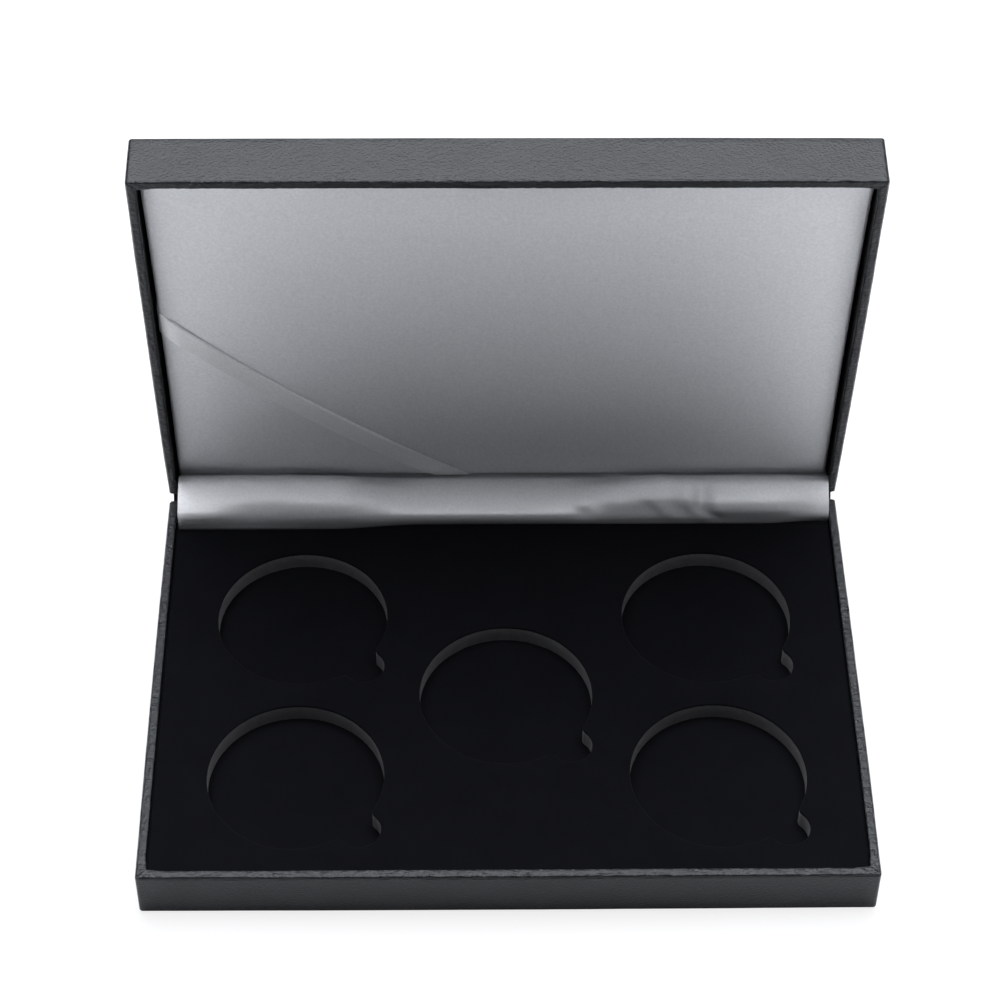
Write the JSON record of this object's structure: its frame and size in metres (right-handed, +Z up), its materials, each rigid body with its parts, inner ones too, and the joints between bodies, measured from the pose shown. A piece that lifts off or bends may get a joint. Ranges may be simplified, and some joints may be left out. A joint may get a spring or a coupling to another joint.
{
  "type": "coin display case",
  "caption": "Hinged leatherette case for coins, with round foam recesses in a velvet-faced tray and a padded satin lid lining.",
  "frame": {"origin": "middle of the underside, on the surface that the tray stands on", "axes": "+X to the right along the longest side, +Z up, -Y towards the person who opens the case; the hinge is at +Y"},
  "size_m": [0.19, 0.1459, 0.147],
  "materials": {
    "leatherette": "satin",
    "velvet": "matte",
    "insert_foam": "matte",
    "satin": "satin",
    "curtain_satin": "satin",
    "ribbon_satin": "satin",
    "moulded_core": "matte",
    "underside": "matte",
    "spacer_foam": "matte",
    "soft_foam": "matte",
    "backing_board": "matte",
    "hinge_steel": "satin",
    "spring_steel": "polished"
  },
  "bodies": {
    "base": {"base_shell": "moulded_core", "base_wrap": "leatherette", "underside_sheet": "underside", "base_spacer": "spacer_foam", "recess_floor": "velvet", "coin_insert": "insert_foam", "insert_velvet": "velvet", "base_hinge_leaves": "hinge_steel", "hinge_pins": "hinge_steel", "base_rivets": "hinge_steel", "bow_springs": "spring_steel", "satin_curtain": "curtain_satin", "spine_strip": "leatherette"},
    "lid": {"lid_shell": "moulded_core", "lid_wrap": "leatherette", "lid_spacer": "spacer_foam", "panel_board": "backing_board", "panel_foam": "soft_foam", "panel_satin": "satin", "ribbon": "ribbon_satin", "lid_hinge_leaves": "hinge_steel", "lid_rivets": "hinge_steel"}
  },
  "joints": [
    {"name": "lid_hinge", "type": "hinge", "parent": "base", "child": "lid", "pos_m": [0, 0.0658, 0.0153], "axis": [-1, 0, 0], "range_deg": [-84, 0], "deforming": ["satin_curtain", "spine_strip", "bow_springs"]}
  ]
}
